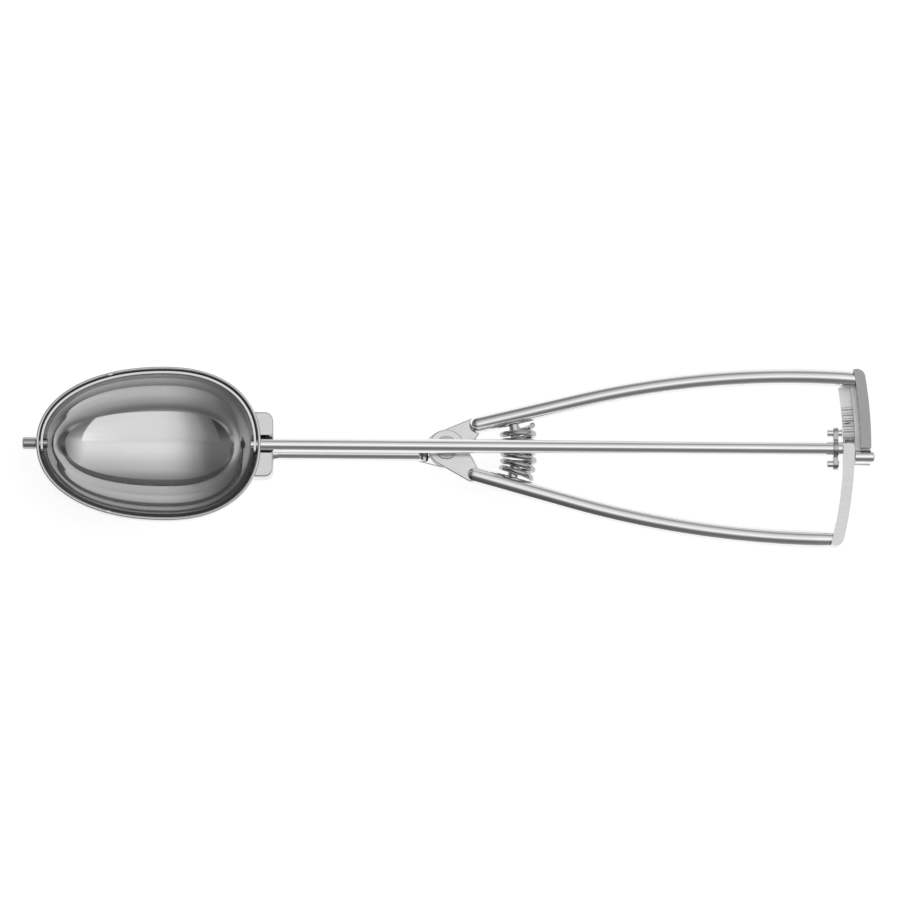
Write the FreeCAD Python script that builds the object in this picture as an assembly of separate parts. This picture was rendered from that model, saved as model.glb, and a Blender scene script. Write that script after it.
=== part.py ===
import FreeCAD, Part
import math
import os

from FreeCAD import Vector

# Lever ice cream scoop, in millimetres, lying with its bowl down and its mouth up.
# The pieces are drawn about the handle pivot: X runs from the bowl to the grip, Y across the
# handles, and the drive rod's axis is the line Y = 0, Z = 0. They are moved once, at the end,
# so that the origin is the middle of the footprint, on the surface that the bowl stands on.

# Bowl: an egg of revolution about the drive rod, cut off level a little above the rod
BOWL_WIDEST_X = -80.2
BOWL_HALF_WIDTH = 22.1
BOWL_FRONT_LENGTH = 36.8
BOWL_REAR_LENGTH = 27.4
BOWL_FRONT_FULLNESS = 2.15
BOWL_REAR_FULLNESS = 2.25
BOWL_WALL = 0.9
RIM_HEIGHT = 2.6
PROFILE_STEPS = 9

# Wiper: the thin band that sweeps the inside of the bowl
WIPER_THICKNESS = 1.0
WIPER_WIDTH = 5.0
WIPER_GAP = 0.35
WIPER_TAB_OVERHANG = 2.7
WIPER_CORNER = 1.2

# Front pin: turns in the bowl's front wall and is riveted into the wiper
PIN_RADIUS = 1.75
PIN_SPIGOT_RADIUS = 1.3
PIN_LENGTH_OUTSIDE = 3.7
PIN_RIVET_LENGTH = 1.1
PIN_SHOULDER_GAP = 0.1
PIN_EDGE = 0.3

# Drive rod
ROD_RADIUS = 2.0
ROD_SPIGOT_RADIUS = 1.5
ROD_RIVET_LENGTH = 0.8
RUNNING_FIT = 0.05

# Bracket: a pressed cup welded to the back of the bowl, slotted for the rod
BRACKET_HALF_WIDTH = 9.3
BRACKET_STANDOFF = 3.4
BRACKET_DEPTH = 9.0
BRACKET_TOP = 1.6
BRACKET_BOTTOM = -11.5
BRACKET_WALL = 1.2
BRACKET_CORNER = 2.4
BRACKET_EDGE = 0.5
SLOT_CLEARANCE = 0.4
SLOT_EXTRA = 0.3

# Shank: a round bar from the bracket to the pivot, flattened at its end
SHANK_RADIUS = 2.0
SHANK_Y = -1.8
SHANK_Z = -7.4
SHANK_WELD_RADIUS = 2.7
SHANK_WELD_LENGTH = 1.6
SHANK_ROUND_END_X = -7.8
SHANK_RAMP_LENGTH = 2.6
SHANK_EYE_RADIUS = 5.6

# Pivot: three plates, one over the other, on a rivet with a washer at each end
PIVOT_Y = 0.0
PLATE_THICKNESS = 1.6
PLATE_GAP = 0.1
STACK_TOP = -5.2
RIVET_RADIUS = 2.0
RIVET_HEAD_RADIUS = 2.6
RIVET_HEAD_HEIGHT = 0.8
RIVET_RECESS_RADIUS = 1.1
RIVET_RECESS_DEPTH = 0.9
RIVET_EDGE = 0.35
WASHER_RADIUS = 3.3
WASHER_THICKNESS = 0.6
WASHER_GAP = 0.05
EYE_RADIUS = 5.2
PLATE_EDGE = 0.35

# Handle bars: round bars that rise from the pivot plates to the level of the rod
BAR_RADIUS = 2.5
BAR_PIVOT_Z = -7.4
BAR_RISE_ANGLE = 3.58
BAR_PLATE_REACH = 0.8
BAR_PLATE_RADIUS = 2.4
UPPER_BAR_START = (9.0, 6.8)
UPPER_BAR_ANGLE = 13.3
UPPER_BAR_STRAIGHT = 29.3
UPPER_BAR_BEND_RADIUS = 265.0
UPPER_BAR_BEND_ANGLE = 16.2
LOWER_BAR_START = (8.0, -7.6)
LOWER_BAR_ANGLE = -15.6
LOWER_BAR_STRAIGHT = 29.0
LOWER_BAR_BEND_RADIUS = 286.0
LOWER_BAR_BEND_ANGLE = 14.6
BAR_OVERRUN = 12.0

# Rack and pinion at the end of the rod
TOOTH_MODULE = 0.5
PINION_TEETH = 12
PINION_FRONT_X = 113.4
PINION_LENGTH = 2.8
TOOTH_THICKNESS = 0.62
TOOTH_ADDENDUM = 0.42
TOOTH_DEDENDUM = 0.6
TOOTH_FLANK_ANGLE = 20.0
SWEEP_ANGLE = 179.8

# Cross arms: strips bent to arcs about the pivot, with the racks on them. A lead is measured
# forward from the rack line, the arc about the pivot through the middle of the pinion.
LOWER_ARM_LEAD = 1.9
LOWER_ARM_WIDTH = 3.2
LOWER_ARM_THICKNESS = 2.2
LOWER_ARM_END_Y = 1.2
LOWER_ARM_CORNER_Y = -28.2
LOWER_ARM_SKIRT_HEIGHT = 6.4
LOWER_ARM_SKIRT_BOTTOM = -3.2
UPPER_ARM_GAP = 1.9
UPPER_ARM_WIDTH = 3.0
UPPER_ARM_TOP = 2.2
UPPER_ARM_END_Y = 0.2
UPPER_ARM_CORNER_Y = 22.0
UPPER_WEB_GAP = 0.5
UPPER_RACK_LEAD = 1.6
UPPER_RACK_THICKNESS = 1.4
UPPER_RACK_END_Y = -4.3
UPPER_RACK_FAR_Y = 18.0
ARM_TIP_ROUND = 1.3
ARM_CORNER_ROUND = 2.4
LOWER_RACK_TEETH = 8
UPPER_RACK_TEETH = 9

# Guide stud: lies on the upper rack and runs along the back of the lower arm
GUIDE_STUD_RADIUS = 1.9
GUIDE_STUD_Y = -2.3
GUIDE_STUD_GAP = 0.3
GUIDE_STUD_LENGTH = 5.8
GUIDE_STUD_NOSE = 1.0

# Stop arm: a cross piece fixed on the rod, with a long and a short stud
STOP_ARM_STANDOFF = 3.2
STOP_ARM_THICKNESS = 1.4
STOP_ARM_HUB_RADIUS = 3.0
STOP_STUD_OFFSET = 4.45
STOP_STUD_RADIUS = 1.1
STOP_STUD_HEAD = 1.7
STOP_LONG_STUD_GAP = 0.15
STOP_SHORT_STUD_GAP = 1.0
STOP_ARM_END_RADIUS = 1.6

# Spring: a compression spring whose axis is an arc, between pegs on the two bars
SPRING_WIRE_RADIUS = 0.75
SPRING_COIL_RADIUS = 4.2
SPRING_TURNS = 5
SPRING_X = 20.0
SPRING_Z = -7.4
SPRING_END_GAP = 0.3
PEG_RADIUS = 1.6
PEG_Z = -7.0
PEG_LENGTH = 2.2
PEG_EDGE = 0.4

# Reach of the blanks that cut other pieces
FAR = 200.0

PITCH = math.pi * TOOTH_MODULE
PITCH_RADIUS = TOOTH_MODULE * PINION_TEETH / 2
RACK_RADIUS = PINION_FRONT_X + PINION_LENGTH / 2
TURNS_PER_SWING = RACK_RADIUS / PITCH_RADIUS
RACK_ROOT_HEIGHT = PITCH_RADIUS + TOOTH_DEDENDUM

LOWER_ARM_INNER_RADIUS = RACK_RADIUS - LOWER_ARM_LEAD
LOWER_ARM_OUTER_RADIUS = LOWER_ARM_INNER_RADIUS + LOWER_ARM_WIDTH
UPPER_ARM_INNER_RADIUS = LOWER_ARM_OUTER_RADIUS + UPPER_ARM_GAP
UPPER_WEB_INNER_RADIUS = LOWER_ARM_OUTER_RADIUS + UPPER_WEB_GAP
UPPER_RACK_INNER_RADIUS = RACK_RADIUS - UPPER_RACK_LEAD
STOP_ARM_FRONT_X = PINION_FRONT_X - STOP_ARM_STANDOFF
STOP_LONG_STUD_END_X = LOWER_ARM_INNER_RADIUS - STOP_LONG_STUD_GAP
STOP_SHORT_STUD_END_X = LOWER_ARM_INNER_RADIUS - STOP_SHORT_STUD_GAP

MIDDLE_PLATE_TOP = STACK_TOP - PLATE_THICKNESS - PLATE_GAP
SHANK_PLATE_TOP = MIDDLE_PLATE_TOP - PLATE_THICKNESS - PLATE_GAP
SHANK_PLATE_BOTTOM = SHANK_PLATE_TOP - PLATE_THICKNESS

BOWL_FRONT_X = BOWL_WIDEST_X - BOWL_FRONT_LENGTH
BOWL_REAR_X = BOWL_WIDEST_X + BOWL_REAR_LENGTH
BRACKET_REAR_X = BOWL_REAR_X + BRACKET_STANDOFF

AXIS_X = Vector(1, 0, 0)
AXIS_Y = Vector(0, 1, 0)
AXIS_Z = Vector(0, 0, 1)


def box(low, high):
    """A box between two corners."""
    size = [high[i] - low[i] for i in range(3)]
    return Part.makeBox(*size, Vector(*low))


def rod_along_x(radius, start_x, end_x, y=0.0, z=0.0):
    """A round bar parallel to the drive rod."""
    return Part.makeCylinder(radius, end_x - start_x, Vector(start_x, y, z), AXIS_X)


def disc(radius, bottom, top):
    """A round plate on the pivot's axis."""
    return Part.makeCylinder(radius, top - bottom, Vector(0, PIVOT_Y, bottom), AXIS_Z)


def edges_at(shape, test):
    """The edges whose middle point passes a test."""
    found = []
    for edge in shape.Edges:
        middle = edge.valueAt((edge.FirstParameter + edge.LastParameter) / 2)
        if test(middle, edge):
            found.append(edge)
    return found


def egg_point(angle, inset):
    """A point inset from the bowl's outline: 0 degrees is the rear pole, 180 the front one."""
    ahead = math.cos(angle) < 0
    length = BOWL_FRONT_LENGTH if ahead else BOWL_REAR_LENGTH
    fullness = BOWL_FRONT_FULLNESS if ahead else BOWL_REAR_FULLNESS
    along = abs(math.cos(angle)) ** (2 / fullness)
    aside = abs(math.sin(angle)) ** (2 / fullness)
    point = Vector(length * along, BOWL_HALF_WIDTH * aside, 0)
    outward = Vector(along ** (fullness - 1) / length, aside ** (fullness - 1) / BOWL_HALF_WIDTH, 0)
    point -= outward.normalize() * inset
    side = -1 if math.sin(angle) < 0 else 1
    return Vector(BOWL_WIDEST_X + (-point.x if ahead else point.x), side * point.y, 0)


def egg_face(inset):
    """Half of the bowl's outline as a face between the curve and the rod's axis."""
    count = 4 * PROFILE_STEPS
    curve = Part.BSplineCurve()
    curve.interpolate([egg_point(2 * math.pi * i / count, inset) for i in range(count)], True)
    whole = Part.Face(Part.Wire(curve.toShape()))
    half = Part.makePlane(FAR, FAR, Vector(BOWL_FRONT_X - 1, 0, 0))
    return whole.common(half)


def egg_shell(outer_inset, inner_inset, front_hole, rear_hole):
    """A wall between two eggs of revolution, with a round hole at each pole."""
    section = egg_face(outer_inset).cut(egg_face(inner_inset))
    front = Part.makePlane(BOWL_FRONT_LENGTH, 2 * front_hole, Vector(-FAR, -front_hole, 0))
    front.translate(Vector(FAR + BOWL_FRONT_X - outer_inset, 0, 0))
    rear = Part.makePlane(BOWL_REAR_LENGTH, 2 * rear_hole, Vector(BOWL_WIDEST_X, -rear_hole, 0))
    rear.translate(Vector(outer_inset + 1, 0, 0))
    section = section.cut([front, rear])
    return section.revolve(Vector(0, 0, 0), AXIS_X, 360)


def make_bowl():
    wall = egg_shell(0, BOWL_WALL, PIN_SPIGOT_RADIUS + RUNNING_FIT, ROD_RADIUS + RUNNING_FIT)
    above_rim = box((-FAR, -FAR, RIM_HEIGHT), (FAR, FAR, FAR))
    return wall.cut(above_rim)


def make_wiper():
    outside = BOWL_WALL + WIPER_GAP
    shell = egg_shell(outside, outside + WIPER_THICKNESS, PIN_SPIGOT_RADIUS, ROD_SPIGOT_RADIUS)
    half = WIPER_WIDTH / 2
    strip = box((-FAR, -WIPER_TAB_OVERHANG, -half), (0, FAR, half))
    ends = edges_at(
        strip,
        lambda p, e: abs(p.y + WIPER_TAB_OVERHANG) < 1e-6 and abs(abs(p.z) - half) < 1e-6,
    )
    return shell.common(strip.makeFillet(WIPER_CORNER, ends))


def make_front_pin():
    wall_outside = BOWL_FRONT_X - PIN_SHOULDER_GAP
    tab_inside = BOWL_FRONT_X + BOWL_WALL + WIPER_GAP + WIPER_THICKNESS
    stub = rod_along_x(PIN_RADIUS, wall_outside - PIN_LENGTH_OUTSIDE, wall_outside)
    nose = edges_at(stub, lambda p, e: abs(p.x - wall_outside + PIN_LENGTH_OUTSIDE) < 1e-6)
    stub = stub.makeChamfer(PIN_EDGE, nose)
    spigot = rod_along_x(PIN_SPIGOT_RADIUS, wall_outside, tab_inside + PIN_RIVET_LENGTH)
    return stub.fuse(spigot).removeSplitter()


def make_drive_rod():
    shoulder = BOWL_REAR_X - BOWL_WALL - WIPER_GAP
    tab_inside = shoulder - WIPER_THICKNESS
    shaft = rod_along_x(ROD_RADIUS, shoulder, PINION_FRONT_X)
    front = rod_along_x(ROD_SPIGOT_RADIUS, tab_inside - ROD_RIVET_LENGTH, shoulder)
    rear = rod_along_x(ROD_SPIGOT_RADIUS, PINION_FRONT_X, PINION_FRONT_X + PINION_LENGTH)
    return shaft.fuse([front, rear]).removeSplitter()


def make_bracket():
    front_x = BRACKET_REAR_X - BRACKET_DEPTH
    cup = box(
        (front_x, -BRACKET_HALF_WIDTH, BRACKET_BOTTOM),
        (BRACKET_REAR_X, BRACKET_HALF_WIDTH, BRACKET_TOP),
    )
    corners = edges_at(
        cup,
        lambda p, e: abs(p.x - BRACKET_REAR_X) < 1e-6 and abs(abs(p.y) - BRACKET_HALF_WIDTH) < 1e-6,
    )
    cup = cup.makeFillet(BRACKET_CORNER, corners)
    rims = edges_at(
        cup,
        lambda p, e: min(abs(p.z - BRACKET_TOP), abs(p.z - BRACKET_BOTTOM)) < 1e-6 and p.x > front_x + 1e-6,
    )
    cup = cup.makeFillet(BRACKET_EDGE, rims)
    inner_half = BRACKET_HALF_WIDTH - BRACKET_WALL
    hollow = box(
        (front_x - 1, -inner_half, BRACKET_BOTTOM + BRACKET_WALL),
        (BRACKET_REAR_X - BRACKET_WALL, inner_half, BRACKET_TOP - BRACKET_WALL),
    )
    room = ROD_RADIUS + SLOT_CLEARANCE
    bore = rod_along_x(room, front_x - 1, BRACKET_REAR_X + 1)
    slot = box((front_x - 1, -room, 0), (BRACKET_REAR_X + 1, room + SLOT_EXTRA, FAR))
    bowl_body = egg_face(0).revolve(Vector(0, 0, 0), AXIS_X, 360)
    return cup.cut([hollow, bore, slot]).cut(bowl_body)


def tapered_plate(first, first_radius, second, second_radius, bottom, top):
    """A flat link whose outline is two circles and their outer tangents."""
    a = Vector(first[0], first[1], bottom)
    b = Vector(second[0], second[1], bottom)
    reach = b - a
    heading = math.atan2(reach.y, reach.x)
    spread = math.acos((first_radius - second_radius) / reach.Length)

    def around(centre, radius, angle):
        return centre + Vector(radius * math.cos(angle), radius * math.sin(angle), 0)

    left_a = around(a, first_radius, heading + spread)
    left_b = around(b, second_radius, heading + spread)
    right_a = around(a, first_radius, heading - spread)
    right_b = around(b, second_radius, heading - spread)
    back = around(a, first_radius, heading + math.pi)
    nose = around(b, second_radius, heading)
    outline = Part.Wire(
        [
            Part.LineSegment(left_a, left_b).toShape(),
            Part.Arc(left_b, nose, right_b).toShape(),
            Part.LineSegment(right_b, right_a).toShape(),
            Part.Arc(right_a, back, left_a).toShape(),
        ]
    )
    plate = Part.Face(outline).extrude(Vector(0, 0, top - bottom))
    rims = edges_at(plate, lambda p, e: abs(p.z - top) < 1e-6)
    return plate.makeFillet(PLATE_EDGE, rims)


def make_shank():
    round_bar = rod_along_x(
        SHANK_RADIUS, BRACKET_REAR_X, SHANK_ROUND_END_X + SHANK_RAMP_LENGTH, SHANK_Y, SHANK_Z
    )
    weld = Part.makeCone(
        SHANK_WELD_RADIUS, SHANK_RADIUS, SHANK_WELD_LENGTH, Vector(BRACKET_REAR_X, SHANK_Y, SHANK_Z), AXIS_X
    )
    plate_start = (SHANK_ROUND_END_X, SHANK_Y)
    plate = tapered_plate(
        (0, PIVOT_Y), SHANK_EYE_RADIUS, plate_start, SHANK_RADIUS, SHANK_PLATE_BOTTOM, SHANK_PLATE_TOP
    )
    ramp_low = Vector(SHANK_ROUND_END_X + SHANK_RAMP_LENGTH, SHANK_Y - FAR / 2, SHANK_PLATE_TOP)
    ramp_high = Vector(SHANK_ROUND_END_X, SHANK_Y - FAR / 2, SHANK_Z + SHANK_RADIUS)
    ramp_corner = Vector(ramp_low.x, ramp_low.y, ramp_high.z)
    triangle = Part.Face(Part.makePolygon([ramp_low, ramp_high, ramp_corner, ramp_low]))
    round_bar = round_bar.cut(triangle.extrude(Vector(0, FAR, 0)))
    hole = disc(RIVET_RADIUS, SHANK_PLATE_BOTTOM - 1, SHANK_PLATE_TOP + 1)
    return round_bar.fuse([weld, plate]).cut(hole).removeSplitter()


def make_rivet():
    top = STACK_TOP + WASHER_GAP + WASHER_THICKNESS
    bottom = SHANK_PLATE_BOTTOM - WASHER_THICKNESS
    shaft = disc(RIVET_RADIUS, bottom, top)
    head = disc(RIVET_HEAD_RADIUS, top, top + RIVET_HEAD_HEIGHT)
    head = head.makeFillet(RIVET_EDGE, edges_at(head, lambda p, e: abs(p.z - head.BoundBox.ZMax) < 1e-6))
    tail = disc(RIVET_HEAD_RADIUS, bottom - RIVET_HEAD_HEIGHT, bottom)
    tail = tail.makeFillet(RIVET_EDGE, edges_at(tail, lambda p, e: abs(p.z - tail.BoundBox.ZMin) < 1e-6))
    recess = disc(RIVET_RECESS_RADIUS, top + RIVET_HEAD_HEIGHT - RIVET_RECESS_DEPTH, FAR)
    return shaft.fuse([head, tail]).cut(recess).removeSplitter()


def make_washer(bottom):
    ring = disc(WASHER_RADIUS, bottom, bottom + WASHER_THICKNESS)
    return ring.cut(disc(RIVET_RADIUS, bottom - 1, bottom + WASHER_THICKNESS + 1))


def bar_height(x):
    """Height of a handle bar's axis."""
    return BAR_PIVOT_Z + x * math.tan(math.radians(BAR_RISE_ANGLE))


def bar_point(start, angle, straight, bend_radius, travel):
    """A point and heading on a bar's axis in plan: straight first, then bending back level."""
    turn_side = -1 if angle > 0 else 1
    run = min(travel, straight)
    x = start[0] + run * math.cos(angle)
    y = start[1] + run * math.sin(angle)
    heading = angle
    if travel > straight:
        heading = angle + turn_side * (travel - straight) / bend_radius
        x += bend_radius * turn_side * (math.sin(heading) - math.sin(angle))
        y -= bend_radius * turn_side * (math.cos(heading) - math.cos(angle))
    return x, y, heading


def make_bar(start, angle_deg, straight, bend_radius, bend_deg):
    """A round bar with a rounded front end, rising to the rear."""
    angle = math.radians(angle_deg)
    bend = bend_radius * math.radians(bend_deg)

    def place(travel):
        x, y, heading = bar_point(start, angle, straight, bend_radius, travel)
        return Vector(x, y, 0), Vector(math.cos(heading), math.sin(heading), 0)

    begin, heading = place(0)
    bend_start = place(straight)[0]
    bend_middle = place(straight + bend / 2)[0]
    bend_end, last_heading = place(straight + bend)
    finish = bend_end + last_heading * BAR_OVERRUN
    path = Part.Wire(
        [
            Part.LineSegment(begin, bend_start).toShape(),
            Part.Arc(bend_start, bend_middle, bend_end).toShape(),
            Part.LineSegment(bend_end, finish).toShape(),
        ]
    )
    section = Part.Wire(Part.makeCircle(BAR_RADIUS, begin, heading))
    bar = path.makePipeShell([section], True, False)
    nose = Part.makeSphere(BAR_RADIUS, begin)
    bar = bar.fuse(nose).removeSplitter()
    bar.rotate(Vector(0, 0, 0), AXIS_Y, -BAR_RISE_ANGLE)
    bar.translate(Vector(0, 0, BAR_PIVOT_Z))
    return bar


def plate_end(start, angle_deg):
    """Where a pivot plate ends, inside the front of its bar."""
    angle = math.radians(angle_deg)
    return (start[0] + BAR_PLATE_REACH * math.cos(angle), start[1] + BAR_PLATE_REACH * math.sin(angle))


def make_handle(start, angle, straight, bend_radius, bend_angle, plate_top, arm_radius):
    """A handle: pivot eye, flattened neck and round bar, ending square on its cross arm."""
    bar = make_bar(start, angle, straight, bend_radius, bend_angle)
    bottom = plate_top - PLATE_THICKNESS
    plate = tapered_plate(
        (0, PIVOT_Y), EYE_RADIUS, plate_end(start, angle), BAR_PLATE_RADIUS, bottom, plate_top
    )
    keep = disc(arm_radius, -FAR, FAR)
    hole = disc(RIVET_RADIUS + RUNNING_FIT, -FAR, FAR)
    return bar.common(keep).fuse(plate).cut(hole).removeSplitter()


def arm_angle(y):
    """Direction from the pivot to a point of the rack line at height y in plan."""
    return math.degrees(math.asin((y - PIVOT_Y) / RACK_RADIUS))


def arc_strip(inner, outer, low_y, high_y, bottom, top):
    """A strip bent to an arc about the pivot."""
    first, last = arm_angle(low_y), arm_angle(high_y)
    corner = Vector(inner, PIVOT_Y, bottom)
    section = Part.makePolygon(
        [
            corner,
            Vector(outer, PIVOT_Y, bottom),
            Vector(outer, PIVOT_Y, top),
            Vector(inner, PIVOT_Y, top),
            corner,
        ]
    )
    pivot = Vector(0, PIVOT_Y, 0)
    face = Part.Face(section)
    face.rotate(pivot, AXIS_Z, first)
    return face.revolve(pivot, AXIS_Z, last - first)


def round_end(strip, y, radius, beyond=0.0):
    """The strip with its upright edges rounded at the end near y, outside a radius."""
    angle = arm_angle(y)
    pivot = Vector(0, PIVOT_Y, 0)

    def upright(p, edge):
        heading = math.degrees(math.atan2(p.y - pivot.y, p.x))
        low, high = edge.BoundBox.ZMin, edge.BoundBox.ZMax
        outside = (p - pivot).x ** 2 + (p - pivot).y ** 2 > beyond**2
        return outside and abs(heading - angle) < 1e-3 and high - low > 0.5

    return strip.makeFillet(radius, edges_at(strip, upright))


def rack_tooth(index, side, inner, outer):
    """One rack tooth, half a pitch and then whole pitches from the rod, pointing at the rod."""
    lean = math.tan(math.radians(TOOTH_FLANK_ANGLE))
    root = TOOTH_THICKNESS / 2 + TOOTH_DEDENDUM * lean
    tip = TOOTH_THICKNESS / 2 - TOOTH_ADDENDUM * lean
    root_z = side * (PITCH_RADIUS + TOOTH_DEDENDUM)
    tip_z = side * (PITCH_RADIUS - TOOTH_ADDENDUM)
    corners = [
        Vector(inner, PIVOT_Y - root, root_z),
        Vector(inner, PIVOT_Y + root, root_z),
        Vector(inner, PIVOT_Y + tip, tip_z),
        Vector(inner, PIVOT_Y - tip, tip_z),
    ]
    tooth = Part.Face(Part.makePolygon(corners + corners[:1])).extrude(Vector(outer - inner, 0, 0))
    y = (index + 0.5) * PITCH
    tooth.rotate(Vector(0, PIVOT_Y, 0), AXIS_Z, math.degrees((y - PIVOT_Y) / RACK_RADIUS))
    return tooth


def make_lower_arm():
    inner = LOWER_ARM_INNER_RADIUS
    outer = LOWER_ARM_OUTER_RADIUS
    top = RACK_ROOT_HEIGHT + LOWER_ARM_THICKNESS
    strip = arc_strip(inner, outer, LOWER_ARM_CORNER_Y, LOWER_ARM_END_Y, RACK_ROOT_HEIGHT, top)
    strip = round_end(strip, LOWER_ARM_END_Y, ARM_TIP_ROUND)
    skirt_end = LOWER_ARM_CORNER_Y + LOWER_ARM_SKIRT_HEIGHT
    skirt = arc_strip(inner, outer, LOWER_ARM_CORNER_Y, skirt_end, LOWER_ARM_SKIRT_BOTTOM, RACK_ROOT_HEIGHT)
    teeth = [rack_tooth(-i, 1, inner, outer) for i in range(LOWER_RACK_TEETH)]
    arm = strip.fuse([skirt]).removeSplitter()
    arm = round_end(arm, LOWER_ARM_CORNER_Y, ARM_CORNER_ROUND, (inner + outer) / 2)
    return arm.fuse(teeth).removeSplitter()


def make_upper_arm():
    inner = UPPER_ARM_INNER_RADIUS
    outer = inner + UPPER_ARM_WIDTH
    rack_top = -RACK_ROOT_HEIGHT
    rack_bottom = rack_top - UPPER_RACK_THICKNESS
    web_top = -GUIDE_STUD_RADIUS
    strip = arc_strip(inner, outer, UPPER_ARM_END_Y, UPPER_ARM_CORNER_Y, web_top, UPPER_ARM_TOP)
    web = arc_strip(
        UPPER_WEB_INNER_RADIUS, outer, UPPER_RACK_END_Y, UPPER_ARM_CORNER_Y, rack_bottom, web_top
    )
    rack = arc_strip(
        UPPER_RACK_INNER_RADIUS,
        UPPER_WEB_INNER_RADIUS,
        UPPER_RACK_END_Y,
        UPPER_RACK_FAR_Y,
        rack_bottom,
        rack_top,
    )
    teeth = [
        rack_tooth(i - 2, -1, UPPER_RACK_INNER_RADIUS, UPPER_WEB_INNER_RADIUS)
        for i in range(UPPER_RACK_TEETH + 1)
    ]
    arm = strip.fuse([web]).removeSplitter()
    arm = round_end(arm, UPPER_ARM_CORNER_Y, ARM_CORNER_ROUND, (inner + outer) / 2)
    return arm.fuse([rack] + teeth).removeSplitter()


def make_pinion():
    """A spur pinion with straight-sided teeth, one of them straight up."""
    lean = math.tan(math.radians(TOOTH_FLANK_ANGLE))
    root_radius = PITCH_RADIUS - TOOTH_DEDENDUM
    tip_radius = PITCH_RADIUS + TOOTH_ADDENDUM
    root = TOOTH_THICKNESS / 2 + TOOTH_DEDENDUM * lean / 2
    tip = TOOTH_THICKNESS / 2 - TOOTH_ADDENDUM * lean
    points = []
    for i in range(PINION_TEETH):
        angle = math.pi / 2 + 2 * math.pi * i / PINION_TEETH
        outward = Vector(0, math.cos(angle), math.sin(angle))
        aside = Vector(0, -math.sin(angle), math.cos(angle))
        points.append(outward * root_radius - aside * root)
        points.append(outward * tip_radius - aside * tip)
        points.append(outward * tip_radius + aside * tip)
        points.append(outward * root_radius + aside * root)
    blank = Part.Face(Part.makePolygon(points + points[:1])).extrude(Vector(PINION_LENGTH, 0, 0))
    blank.translate(Vector(PINION_FRONT_X, 0, 0))
    return blank.cut(rod_along_x(ROD_SPIGOT_RADIUS, PINION_FRONT_X - 1, PINION_FRONT_X + PINION_LENGTH + 1))


def make_guide_stud():
    front = LOWER_ARM_OUTER_RADIUS + GUIDE_STUD_GAP
    end = front + GUIDE_STUD_LENGTH
    stud = rod_along_x(GUIDE_STUD_RADIUS, front, end, GUIDE_STUD_Y)
    return stud.makeFillet(GUIDE_STUD_NOSE, edges_at(stud, lambda p, e: abs(p.x - end) < 1e-6))


def make_stop_arm():
    front = STOP_ARM_FRONT_X
    back = front + STOP_ARM_THICKNESS
    hub = rod_along_x(STOP_ARM_HUB_RADIUS, front, back)
    ends = [
        rod_along_x(STOP_ARM_END_RADIUS, front, back, side * STOP_STUD_OFFSET) for side in (1, -1)
    ]
    half = STOP_ARM_END_RADIUS
    bar = box((front, -STOP_STUD_OFFSET, -half), (back, STOP_STUD_OFFSET, half))
    holes = [
        rod_along_x(STOP_STUD_RADIUS, front - 1, back + 1, side * STOP_STUD_OFFSET) for side in (1, -1)
    ]
    holes.append(rod_along_x(ROD_RADIUS, front - 1, back + 1))
    return bar.fuse(ends + [hub]).cut(holes).removeSplitter()


def make_stop_stud(side, end_x):
    y = side * STOP_STUD_OFFSET
    head_front = STOP_ARM_FRONT_X - STOP_STUD_HEAD
    return rod_along_x(STOP_STUD_RADIUS, head_front, end_x, y)


def bar_side(start, angle_deg, side):
    """The bar's inner side as a line in plan: its slope, and its Y where the spring stands."""
    slope = math.tan(math.radians(angle_deg))
    centre = start[1] + (SPRING_X - start[0]) * slope
    return slope, centre - side * BAR_RADIUS / math.cos(math.radians(angle_deg))


def spring_frame():
    """The centre of the spring's arc, and the angles of its two ends about that centre."""
    upper_slope, upper_y = bar_side(UPPER_BAR_START, UPPER_BAR_ANGLE, 1)
    lower_slope, lower_y = bar_side(LOWER_BAR_START, LOWER_BAR_ANGLE, -1)
    reach = (upper_y - lower_y) / (upper_slope - lower_slope)
    centre = Vector(SPRING_X - reach, upper_y - reach * upper_slope, SPRING_Z)
    inset = (SPRING_WIRE_RADIUS + SPRING_END_GAP) / reach
    return centre, reach, math.atan(lower_slope) + inset, math.atan(upper_slope) - inset


def spring_point(share):
    """A point of the wire's axis, from 0 at the lower end to 1 at the upper end."""
    centre, reach, low, high = spring_frame()
    along = low + (high - low) * share
    turn = 2 * math.pi * SPRING_TURNS * share
    radius = reach + SPRING_COIL_RADIUS * math.cos(turn)
    height = SPRING_COIL_RADIUS * math.sin(turn)
    return centre + Vector(radius * math.cos(along), radius * math.sin(along), height)


def spring_heading(share):
    """The direction of the wire at a point of its axis."""
    step = 1e-5
    return (spring_point(share + step) - spring_point(share - step)).normalize()


def tangent_arc(start, corner, end):
    """The arc from start to end whose tangents meet at corner."""
    middle = (start + end) / 2
    rise = corner - middle
    half = (end - start).Length / 2
    bulge = half * math.tan(math.atan(rise.Length / half) / 2)
    return Part.Arc(start, middle + rise * (bulge / rise.Length), end).toShape()


def biarc(start, start_heading, end, end_heading):
    """Two arcs that leave start and reach end along given headings."""
    gap = end - start
    both = start_heading + end_heading
    spread = 2 * (1 - start_heading.dot(end_heading))
    reach = (math.sqrt(gap.dot(both) ** 2 + spread * gap.dot(gap)) - gap.dot(both)) / spread
    first = start + start_heading * reach
    second = end - end_heading * reach
    join = (first + second) / 2
    return [tangent_arc(start, first, join), tangent_arc(join, second, end)]


def make_spring():
    quarters = 4 * SPRING_TURNS
    arcs = []
    for i in range(quarters):
        a, b = i / quarters, (i + 1) / quarters
        arcs += biarc(spring_point(a), spring_heading(a), spring_point(b), spring_heading(b))
    section = Part.Wire(Part.makeCircle(SPRING_WIRE_RADIUS, spring_point(0), spring_heading(0)))
    return Part.Wire(arcs).makePipeShell([section], True, False)


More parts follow.
